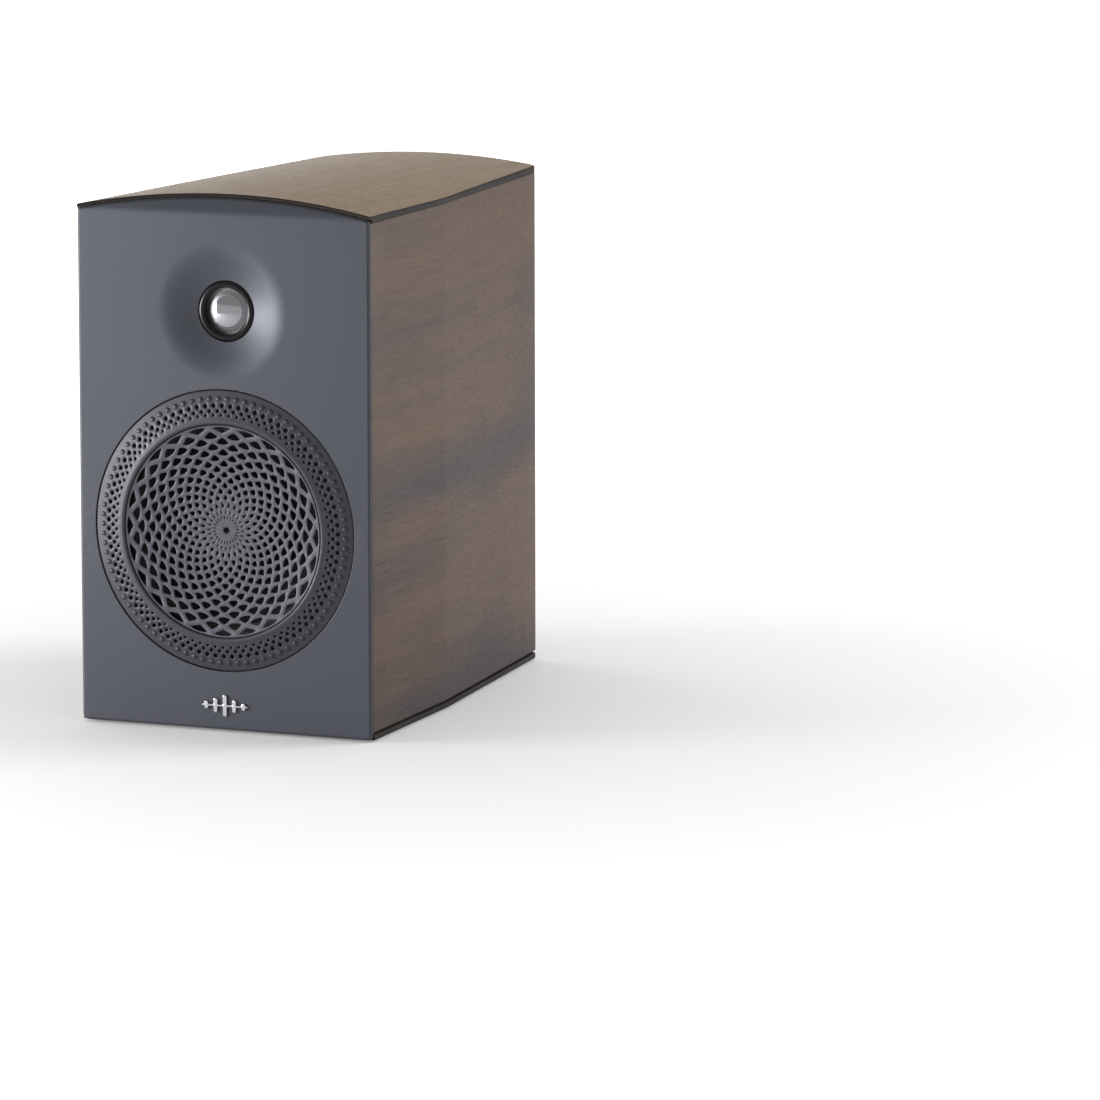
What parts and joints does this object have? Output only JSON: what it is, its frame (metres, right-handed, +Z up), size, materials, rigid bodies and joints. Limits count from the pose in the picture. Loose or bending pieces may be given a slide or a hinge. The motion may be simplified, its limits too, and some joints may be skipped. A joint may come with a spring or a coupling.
{
  "type": "bookshelf speaker",
  "caption": "Tapered wood-veneered bookshelf speaker with an arched top, a woofer behind a perforated lens, a dome tweeter in a waveguide, a rear port and screw terminals.",
  "frame": {"origin": "middle of the object's box on the plane of the feet's soles", "axes": "+X to the right seen from the front, -Y out of the front, +Z up"},
  "size_m": [0.1984, 0.3366, 0.3324],
  "materials": {
    "veneer": "satin veneer, grey-brown, grain along the depth",
    "edge_band": "dark satin lacquer",
    "raw_board": "raw medium-density fibreboard",
    "graphite": "satin graphite paint",
    "black_board": "black textured foil on board",
    "black_plastic": "black moulded plastic, fine spark texture",
    "gloss_black": "gloss black",
    "red_plastic": "translucent red knob plastic, satin",
    "rubber": "black rubber",
    "cast_metal": "die-cast, dark powder coat",
    "steel": "zinc-plated steel",
    "ferrite": "dark sintered ferrite",
    "gold": "gold-plated brass",
    "chrome": "polished chrome",
    "mesh_steel": "perforated steel, satin",
    "cone": "mineral-filled cone, matt blue-grey",
    "spider_cloth": "resin-stiffened cotton",
    "dome": "polished aluminium",
    "board": "green circuit board",
    "copper": "enamelled copper winding",
    "capacitor": "blue wrapped film capacitor",
    "wadding": "white polyester wadding"
  },
  "bodies": {
    "cabinet": {"side_panel_left": "veneer", "side_panel_right": "veneer", "top_panel": "veneer", "bottom_panel": "edge_band", "front_board": "raw_board", "rear_board": "black_board", "window_brace": "raw_board", "fascia": "graphite", "badge": "chrome", "woofer_trim_ring": "graphite", "woofer_lens": "graphite", "woofer_frame": "cast_metal", "woofer_gasket": "rubber", "woofer_surround": "rubber", "woofer_spider": "spider_cloth", "woofer_pole_ring": "steel", "woofer_magnet": "ferrite", "woofer_yoke": "steel", "woofer_tag": "black_plastic", "tweeter_bezel": "gloss_black", "tweeter_lens": "mesh_steel", "tweeter_plate": "black_plastic", "tweeter_surround": "rubber", "tweeter_pole_ring": "steel", "tweeter_magnet": "ferrite", "tweeter_yoke": "steel", "tweeter_chamber": "black_plastic", "rear_port": "black_plastic", "terminal_plate": "black_plastic", "binding_post_red": "gold", "binding_post_black": "gold", "crossover_board": "board", "crossover_inductor": "copper", "crossover_capacitor": "capacitor", "woofer_lead": "black_plastic", "tweeter_lead": "black_plastic", "damping_wadding": "wadding", "foot_1": "rubber", "woofer_screw_1": "steel", "terminal_screw_1": "black_plastic", "foot_2": "rubber", "woofer_screw_2": "steel", "terminal_screw_2": "black_plastic", "foot_3": "rubber", "woofer_screw_3": "steel", "terminal_screw_3": "black_plastic", "foot_4": "rubber", "woofer_screw_4": "steel", "terminal_screw_4": "black_plastic", "tweeter_screw_1": "steel", "tweeter_screw_2": "steel"},
    "woofer_mover": {"woofer_cone": "cone", "woofer_dust_cap": "cone", "woofer_voice_coil": "copper"},
    "tweeter_mover": {"tweeter_dome": "dome", "tweeter_voice_coil": "copper"},
    "clamp_red": {"clamp_washer_red": "gold"},
    "turning_knob_red": {"knob_red": "red_plastic"},
    "clamp_black": {"clamp_washer_black": "gold"},
    "turning_knob_black": {"knob_black": "black_plastic"}
  },
  "joints": [
    {"name": "woofer_excursion", "type": "slide", "parent": "cabinet", "child": "woofer_mover", "axis": [0, -1, 0], "range_m": [-0.005, 0.005], "stiffness_N_per_m": 1200, "deforming": ["woofer_surround", "woofer_spider"]},
    {"name": "tweeter_excursion", "type": "slide", "parent": "cabinet", "child": "tweeter_mover", "axis": [0, -1, 0], "range_m": [-0.0003, 0.0003], "stiffness_N_per_m": 100, "deforming": ["tweeter_surround"]},
    {"name": "clamp_lift_red", "type": "slide", "parent": "cabinet", "child": "clamp_red", "axis": [0, 1, 0], "range_m": [0, 0.0061]},
    {"name": "knob_turn_red", "type": "hinge", "parent": "clamp_red", "child": "turning_knob_red", "pos_m": [-0.0095, 0.16135, 0.0775], "axis": [0, 1, 0], "range_deg": [0, 2160]},
    {"name": "clamp_lift_black", "type": "slide", "parent": "cabinet", "child": "clamp_black", "axis": [0, 1, 0], "range_m": [0, 0.0061]},
    {"name": "knob_turn_black", "type": "hinge", "parent": "clamp_black", "child": "turning_knob_black", "pos_m": [0.0095, 0.16135, 0.0775], "axis": [0, 1, 0], "range_deg": [0, 2160]}
  ],
  "couplings": [
    {"joint": "clamp_lift_red", "follows": "knob_turn_red", "m_per_rad": 0.00015915},
    {"joint": "clamp_lift_black", "follows": "knob_turn_black", "m_per_rad": 0.00015915}
  ]
}
